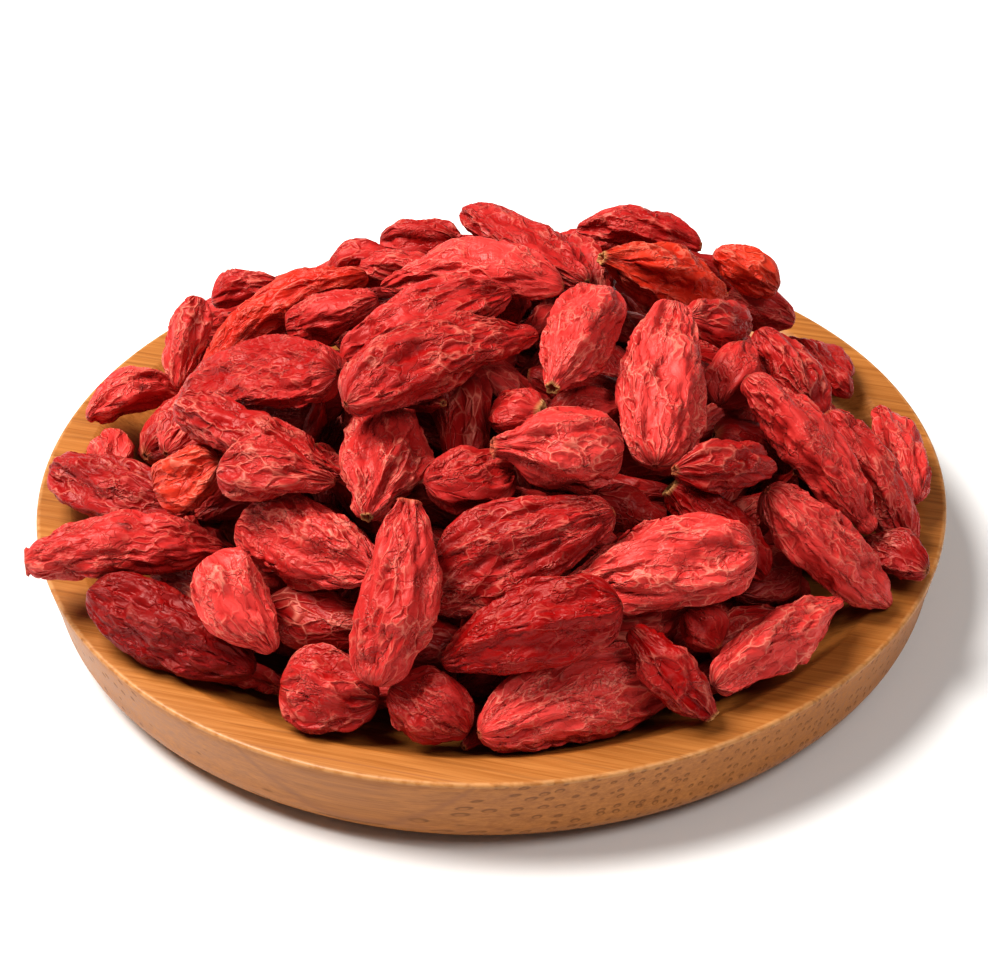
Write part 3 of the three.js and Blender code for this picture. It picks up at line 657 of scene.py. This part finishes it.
# Runs the skin tree on a piece and keeps its result as a plain mesh
def wrinkle(piece, tree, material):
    modifier = piece.modifiers.new("wrinkledSkin", "NODES")
    modifier.node_group = tree
    values = {"Finish": material}
    for item in tree.interface.items_tree:
        if item.in_out == "INPUT" and item.name in values:
            modifier[item.identifier] = values[item.name]
    graph = bpy.context.evaluated_depsgraph_get()
    mesh = bpy.data.meshes.new_from_object(
        piece.evaluated_get(graph), preserve_all_data_layers=True, depsgraph=graph
    )
    piece.modifiers.remove(modifier)
    plain = piece.data
    piece.data = mesh
    bpy.data.meshes.remove(plain)


def slotOf(node):
    for row in frame["record"]["subparts"]:
        if row["node"] == node:
            return row["material_slot"]


def mouthOf(node, berry, draw):
    if node in mouths:
        way, radius, pale = mouths[node]
        if np.dot(berry["axis"], sideWays[way]) < 0:
            turnBerry(berry)
        return radius, pale
    if draw.random() < 0.5:
        turnBerry(berry)
    low, high = berrySet["mouth"]
    return low + (high - low) * draw.random(), 0.6 * draw.random()


# Points the berry's axis the other way
def turnBerry(berry):
    berry["axis"] = -berry["axis"]
    berry["wide"] = -berry["wide"]
    berry["size"] = berry["size"] * np.array([-1, 1, -1, 1])
    berry["corners"][:, 0] *= -1
    berry["corners"][:, 1] = math.pi - berry["corners"][:, 1]


def makeBerries():
    tree = makeSkinTree()
    detail = makeSkinGroup()
    materials = {slot: makeBerryMaterial(slot, detail) for slot in berryTones}
    draw = np.random.default_rng(skin["seed"])
    total = 0
    for node in sorted(frame["nodes"]):
        if node == "bamboo_dish":
            continue
        level = "inside" if node == "berries_inside" else "clump" if "clump" in node else "named"
        laid = []
        for points in splitSolid(node):
            berry = readBerry(points)
            if np.linalg.det(np.array([berry["axis"], berry["wide"], berry["thin"]])) < 0:
                berry["wide"] = -berry["wide"]
                berry["corners"][:, 1] = math.pi - berry["corners"][:, 1]
            radius, pale = mouthOf(node, berry, draw)
            laid.append(layBerry(berry, level, radius, pale, draw))
        piece = joinBerries(node + "_dried", laid, draw)
        slot = slotOf(node)
        wrinkle(piece, tree, materials[slot])
        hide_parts(node)
        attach(piece, "root")
        total += len(laid)
    print("berries laid:", total)
    return tree, materials


skinTree, berryMaterials = makeBerries()


# Smaller berries in the gaps that the solids leave between them
gapSet = {
    "seed": 5,
    "tries": 9000,
    "rooms": (2.7, 2.1, 1.6, 1.35),  # mm, least half width in each round
    "widest": 3.1,  # mm, half width
    "longest": 7.5,  # mm, half length
    "press": 0.3,  # mm that a berry presses into its neighbours
    "darkShare": 0.3,
    "mouth": 0.35,  # mm, radius of the scar
    "pale": 0.5,  # how pale its rim is
    "stride": 0.8,  # mm between the points that are tried along a free run
    "clear": 0.9,  # mm of room that a free run needs round it
    "sample": 1.5,  # mm between the points where the heap's height is taken
    "reach": 96,  # mm, side of the square they cover
    "smooth": 3,  # how many of them the mean height spreads over
    "sunk": 0.7,  # share of its half width that a berry's axis stays under the mean height
}


# berries behind the crest, seen between the named ones: both ends of the core and the half width, mm
crestBerries = (
    ((8.9, 22.5, 25.2), (12.4, 22.5, 25.6), 2.3, "berry_red"),
    ((23.4, 20.0, 23.9), (25.6, 20.0, 22.2), 2.3, "berry_red"),
    ((-10.9, 8.0, 32.0), (-7.9, 8.0, 31.9), 2.2, "berry_red"),
    ((-29.6, 24.0, 17.2), (-27.4, 24.0, 17.6), 2.2, "berry_red"),
    ((-22.6, 28.0, 16.7), (-19.8, 28.0, 17.0), 2.4, "berry_dark"),
    ((-4.4, 26.0, 22.1), (-1.0, 26.0, 22.6), 2.3, "berry_dark"),
)


def treeOf(nodes):
    points, faces = [], []
    for node in nodes:
        mesh = frame["nodes"][node].data
        start = len(points)
        points += [vert.co / mm for vert in mesh.vertices]
        faces += [tuple(corner + start for corner in face.vertices) for face in mesh.polygons]
    return BVHTree.FromPolygons(points, faces)


# The heap's mean height over the dish, as a function of x and y in mm
def meanHeight(berries):
    count = int(gapSet["reach"] / gapSet["sample"]) + 1
    steps = np.linspace(-gapSet["reach"] / 2, gapSet["reach"] / 2, count)
    heights = np.zeros((count, count))
    for i, x in enumerate(steps):
        for j, y in enumerate(steps):
            met = berries.ray_cast(Vector((x, y, 60)), Vector((0, 0, -1)))[0]
            heights[i, j] = met.z if met else 0
    spread = np.exp(-(np.arange(-6, 7) ** 2) / (2 * (gapSet["smooth"] / 2) ** 2))
    spread /= spread.sum()
    for axis in (0, 1):
        heights = np.apply_along_axis(lambda row: np.convolve(row, spread, "same"), axis, heights)

    def heightAt(point):
        i, j = (min(count - 1, max(0, round((v - steps[0]) / gapSet["sample"]))) for v in point[:2])
        return heights[i, j]

    return heightAt


# Distance from a point to the nearest solid and to the berries added so far; below 0 inside
def roomAt(solids, added, point):
    near, normal, _, distance = solids.find_nearest(point)
    room = distance if (point - near).dot(normal) > 0 else -distance
    for start, end, halfWide in added:
        line = end - start
        share = min(1, max(0, (point - start).dot(line) / line.length_squared))
        room = min(room, (point - start - share * line).length - halfWide)
    return room


# The longest free run through a point
def longestRun(solids, added, point, draw):
    best, stride = None, gapSet["stride"]
    for _ in range(12):
        way = Vector(draw.normal(size=3)).normalized()
        ends = []
        for side in (-1, 1):
            step = 0.0
            while step < gapSet["longest"]:
                ahead = point + side * (step + stride) * way
                if roomAt(solids, added, ahead) <= gapSet["clear"]:
                    break
                step += stride
            ends.append(point + side * step * way)
        if best is None or (ends[1] - ends[0]).length > (best[1] - best[0]).length:
            best = ends
    return best


def findGaps(draw):
    berries = [node for node in frame["nodes"] if node != "bamboo_dish"]
    solids, heightAt = treeOf(frame["nodes"]), meanHeight(treeOf(berries))
    corners = np.array([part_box(node) for node in berries]) / mm
    low, high = corners[:, 0].min(0), corners[:, 1].max(0)
    added = [(Vector(start), Vector(end), halfWide) for start, end, halfWide, _ in crestBerries]
    for least in gapSet["rooms"]:
        for _ in range(gapSet["tries"]):
            point = Vector(low + (high - low) * draw.random(3))
            if heightAt(point) < point.z or roomAt(solids, added, point) < least:
                continue
            start, end = longestRun(solids, added, point, draw)
            middle = (start + end) / 2
            spots = [middle.lerp(tip, 0.3) for tip in (start, end, middle)]
            halfWide = min(roomAt(solids, added, spot) for spot in spots)
            halfWide = min(gapSet["widest"], halfWide + gapSet["press"])
            halfLong = min(gapSet["longest"], (end - start).length / 2 + 1.2)
            if halfWide < least or halfLong < 1.5 * halfWide:
                continue
            along = (end - start).normalized()
            core = halfLong - halfWide
            ends = middle - core * along, middle + core * along
            if all(heightAt(spot) - spot.z > gapSet["sunk"] * halfWide for spot in (*ends, middle)):
                added.append((*ends, halfWide))
    return added


def makeGapBerry(start, end, halfWide, draw):
    along = (end - start).normalized()
    wide = along.cross(Vector((0, 0, 1)) if abs(along.z) < 0.9 else Vector((1, 0, 0))).normalized()
    lumps = np.column_stack(
        [
            draw.uniform(-1, 1, 12) * (end - start).length / 2,
            draw.uniform(-math.pi, math.pi, 12),
            draw.uniform(0.88, 1.1, 12),
        ]
    )
    return {
        "middle": np.array((start + end) / 2),
        "axis": np.array(along),
        "wide": np.array(wide),
        "thin": np.array(along.cross(wide)),
        "length": (end - start).length + 2 * halfWide,
        "bow": np.zeros(3),
        "squeeze": draw.uniform(0.8, 0.95),
        "size": np.array([0, 0, draw.uniform(-0.25, 0.25), halfWide]),
        "usual": halfWide,
        "corners": lumps,
    }


def fillGaps():
    draw = np.random.default_rng(gapSet["seed"])
    added = findGaps(draw)
    groups = {"berry_red": [], "berry_dark": []}
    for i, (start, end, halfWide) in enumerate(added):
        slot = "berry_dark" if draw.random() < gapSet["darkShare"] else "berry_red"
        if i < len(crestBerries):
            slot = crestBerries[i][3]
        berry = makeGapBerry(start, end, halfWide, draw)
        level = "clump" if i < len(crestBerries) else "gap"
        groups[slot].append(layBerry(berry, level, gapSet["mouth"], gapSet["pale"], draw))
    for slot, laid in groups.items():
        if not laid:
            continue
        piece = joinBerries("gap_" + slot, laid, draw)
        wrinkle(piece, skinTree, berryMaterials[slot])
        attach(piece, "root")
    print("berries in gaps:", len(added))


fillGaps()


# Dish, turned from laminated bamboo board; sizes in mm
dish = {
    "radius": 47.5,
    "height": 10,
    "rim": 3.7,
    "recess": 5,
    "cove": 15,
    "taper": 1.2,
    "footWide": 5.2,
    "footHigh": 4.4,
    "ease": 0.35,
    "sides": 288,
    "grainTurn": 17,  # degrees from +X towards -Y
}


def dishOutline():
    outer, inner = dish["radius"], dish["radius"] - dish["rim"]
    foot, ease, top = outer - dish["taper"], dish["ease"], dish["height"]
    points = [(0, 0), (foot - dish["footWide"] - 12, 0)]
    for i in range(13):
        turn = math.pi / 2 * i / 12
        r = foot - dish["footWide"] * (1 - math.sin(turn))
        points.append((r, dish["footHigh"] * (1 - math.cos(turn))))
    for i in range(1, 6):
        rise = dish["footHigh"] + (top - ease - dish["footHigh"]) * i / 5
        points.append((foot + dish["taper"] * i / 5, rise))
    for i in range(1, 5):
        turn = math.pi / 2 * i / 4
        points.append((outer - ease * (1 - math.cos(turn)), top - ease * (1 - math.sin(turn))))
    # a small round edge, then the recess falls away ever more gently
    for i in range(5):
        step = 0.6 * (i / 4 - 1)
        points.append((inner - step, top))
    for i in range(1, 25):
        share = 1 - i / 24
        points.append((inner - dish["cove"] * (1 - share), top - dish["recess"] * (1 - share**2)))
    points += [(r, top - dish["recess"]) for r in (18, 9, 0)]
    return points


def makeBambooMaterial():
    material = bpy.data.materials.new("lacqueredBamboo")
    material.use_nodes = True
    tree = material.node_tree
    tree.nodes.clear()
    coordinate = wire(tree, "ShaderNodeTexCoord")
    place = coordinate.outputs["Object"]
    grainTurn = (0, 0, math.radians(dish["grainTurn"]))
    turned = {"Vector": place, "Rotation": grainTurn, "Scale": (1000, 1000, 1000)}
    turned = wire(tree, "ShaderNodeMapping", turned).outputs[0]
    # x runs along the strands, y across the board, z up, all in mm
    sway = noiseAt(tree, calcVector(tree, "MULTIPLY", turned, (0.05, 0.12, 0.12)), 1.0, 1.0, output=1)
    sway = calcVector(tree, "SUBTRACT", sway, (0.5, 0.5, 0.5))
    sway = calcVector(tree, "MULTIPLY", sway, (0, 1.6, 1.0))
    strand = calcVector(tree, "MULTIPLY", calcVector(tree, "ADD", turned, sway), (0.012, 1.3, 0.85))

    def nearStrand(at):
        cells = wire(tree, "ShaderNodeTexVoronoi", {"Vector": at, "Scale": 1.0, "Randomness": 0.6})
        return cells.outputs["Distance"]

    bundle = ramp(tree, nearStrand(strand), 0.22, 0.31, 1.0, 0.0)
    heart = ramp(tree, nearStrand(calcVector(tree, "ADD", strand, (0.0, 0.0, 0.08))), 0.1, 0.2, 1.0, 0.0)
    streaks = noiseAt(tree, calcVector(tree, "MULTIPLY", turned, (0.05, 2.0, 2.0)), 1.0, 4.0, 0.7)
    fineStreaks = noiseAt(tree, calcVector(tree, "MULTIPLY", turned, (0.12, 6.0, 6.0)), 1.0, 3.0, 0.6)
    streaks = calc(tree, "MULTIPLY_ADD", calc(tree, "SUBTRACT", fineStreaks, 0.5), 0.5, streaks)
    streaks = ramp(tree, streaks, 0.22, 0.78)
    broad = noiseAt(tree, calcVector(tree, "MULTIPLY", turned, (0.02, 0.16, 0.3)), 1.0, 2.0)
    # strips of the board, each with its own tone
    across = wire(tree, "ShaderNodeSeparateXYZ", {0: turned}).outputs[1]
    lane = calc(tree, "DIVIDE", calc(tree, "ADD", across, 1.0), 22.5)
    strip = calc(tree, "FLOOR", lane)
    edge = calc(tree, "ABSOLUTE", calc(tree, "SUBTRACT", calc(tree, "FRACT", lane), 0.5))
    seam = ramp(tree, edge, 0.492, 0.5)
    toneOf = wire(tree, "ShaderNodeTexWhiteNoise", {"W": strip}, noise_dimensions="1D").outputs["Value"]
    tone = calc(tree, "MULTIPLY_ADD", streaks, 0.75, -0.1)
    tone = calc(tree, "MULTIPLY_ADD", broad, 0.45, tone)
    tone = calc(tree, "MULTIPLY_ADD", toneOf, 0.16, tone, clamp=True)
    colour = blendColour(tree, tone, (0.27, 0.089, 0.014, 1), (0.48, 0.192, 0.047, 1))
    dark = calc(tree, "SUBTRACT", bundle, calc(tree, "MULTIPLY", heart, 0.75))
    dark = calc(tree, "MULTIPLY", dark, ramp(tree, across, -46.3, -45.7, 0.3, 1.0))
    # the strands show less on the faces that look up, where they were cut along their length
    facing = wire(tree, "ShaderNodeSeparateXYZ", {0: coordinate.outputs["Normal"]}).outputs[2]
    dark = calc(tree, "MULTIPLY", dark, ramp(tree, facing, 0.3, 0.8, 1.0, 0.4))
    colour = blendColour(tree, calc(tree, "MULTIPLY", dark, 0.7), colour, (0.15, 0.05, 0.008, 1))
    colour = blendColour(tree, calc(tree, "MULTIPLY", seam, 0.5), colour, (0.25, 0.09, 0.03, 1))
    # the rim's outer edge is worn pale
    parts = wire(tree, "ShaderNodeSeparateXYZ", {0: place})
    outward = {0: calcVector(tree, "MULTIPLY", place, (1000.0, 1000.0, 0.0))}
    r = wire(tree, "ShaderNodeVectorMath", outward, operation="LENGTH").outputs["Value"]
    near = calc(tree, "ADD", r, calc(tree, "MULTIPLY", parts.outputs[2], 1000.0))
    worn = ramp(tree, near, 56.95, 57.25)
    ragged = noiseAt(tree, calcVector(tree, "MULTIPLY", place, (1000.0, 1000.0, 1000.0)), 0.9, 3.0)
    ragged = ramp(tree, ragged, 0.35, 0.6)
    worn = calc(tree, "MULTIPLY", worn, calc(tree, "MULTIPLY_ADD", ragged, 0.4, 0.1))
    colour = blendColour(tree, worn, colour, (0.62, 0.33, 0.14, 1))
    roughness = calc(tree, "MULTIPLY_ADD", streaks, 0.18, 0.36)
    roughness = calc(tree, "MULTIPLY_ADD", dark, 0.1, roughness)
    height = calc(tree, "MULTIPLY", streaks, 0.5)
    height = calc(tree, "SUBTRACT", height, calc(tree, "MULTIPLY", dark, 0.35))
    bump = wire(tree, "ShaderNodeBump", {"Strength": 0.3, "Distance": 0.06 * mm, "Height": height})
    surface = wire(
        tree,
        "ShaderNodeBsdfPrincipled",
        {
            "Base Color": colour,
            "Roughness": roughness,
            "Normal": bump.outputs[0],
            "Specular IOR Level": 0.3,
            "Coat Weight": 0.08,
            "Coat Roughness": 0.25,
        },
    )
    output = wire(tree, "ShaderNodeOutputMaterial")
    tree.links.new(surface.outputs[0], output.inputs[0])
    return material


def makeDish():
    shape = bmesh.new()
    corners = [shape.verts.new((r * mm, 0, z * mm)) for r, z in dishOutline()]
    edges = [shape.edges.new(pair) for pair in zip(corners, corners[1:])]
    bmesh.ops.spin(
        shape,
        geom=corners + edges,
        axis=(0, 0, 1),
        cent=(0, 0, 0),
        angle=2 * math.pi,
        steps=dish["sides"],
    )
    bmesh.ops.remove_doubles(shape, verts=shape.verts, dist=0.003 * mm)
    bmesh.ops.recalc_face_normals(shape, faces=shape.faces)
    mesh = bpy.data.meshes.new("bamboo_dish_turned")
    shape.to_mesh(mesh)
    shape.free()
    mesh.shade_smooth()
    piece = bpy.data.objects.new("bamboo_dish_turned", mesh)
    bpy.context.scene.collection.objects.link(piece)
    mesh.materials.append(makeBambooMaterial())
    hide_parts("bamboo_dish")
    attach(piece, "root")
    print("dish turned:", len(mesh.polygons), "faces")


makeDish()

# Floor and light: lamp sizes in m, powers in W
stageSet = {
    "floor": (0.86, 0.86, 0.86, 1),
    "sky": (1.0, 1.0, 1.0, 1),
    "skyStrength": 0.12,
    "key": {
        "from": (-0.48, 0.08, 0.82),
        "away": 0.6,
        "size": 0.36,
        "power": 5.9,
        "colour": (1.0, 0.97, 0.93),
    },
    "fill": {
        "from": (0.5, -0.4, 0.9),
        "away": 0.9,
        "size": 0.4,
        "power": 2.6,
        "colour": (1.0, 0.98, 0.96),
    },
}


def makeLamp(name):
    values = stageSet[name]
    data = bpy.data.lights.new(name, "AREA")
    data.shape = "DISK"
    data.size = values["size"]
    data.energy = values["power"]
    data.color = values["colour"]
    lamp = bpy.data.objects.new(name, data)
    bpy.context.scene.collection.objects.link(lamp)
    way = Vector(values["from"]).normalized()
    lamp.location = way * values["away"] + Vector((0, 0, 0.015))
    lamp.rotation_euler = way.to_track_quat("Z", "Y").to_euler()


def makeStage():
    mesh = bpy.data.meshes.new("floor")
    reach = 3.0
    corners = [(-reach, -reach, 0), (reach, -reach, 0), (reach, reach, 0), (-reach, reach, 0)]
    mesh.from_pydata(corners, [], [(0, 1, 2, 3)])
    floor = bpy.data.objects.new("floor", mesh)
    bpy.context.scene.collection.objects.link(floor)
    material = bpy.data.materials.new("paleFloor")
    material.use_nodes = True
    surface = material.node_tree.nodes["Principled BSDF"]
    surface.inputs["Base Color"].default_value = stageSet["floor"]
    surface.inputs["Roughness"].default_value = 0.9
    mesh.materials.append(material)
    makeLamp("key")
    makeLamp("fill")
    world = bpy.data.worlds.new("paleRoom")
    world.use_nodes = True
    world.node_tree.nodes["Background"].inputs[0].default_value = stageSet["sky"]
    world.node_tree.nodes["Background"].inputs[1].default_value = stageSet["skyStrength"]
    bpy.context.scene.world = world
    bpy.context.scene.view_settings.view_transform = "Standard"
    bpy.context.scene.view_settings.look = "Medium High Contrast"


makeStage()
print("stage set")
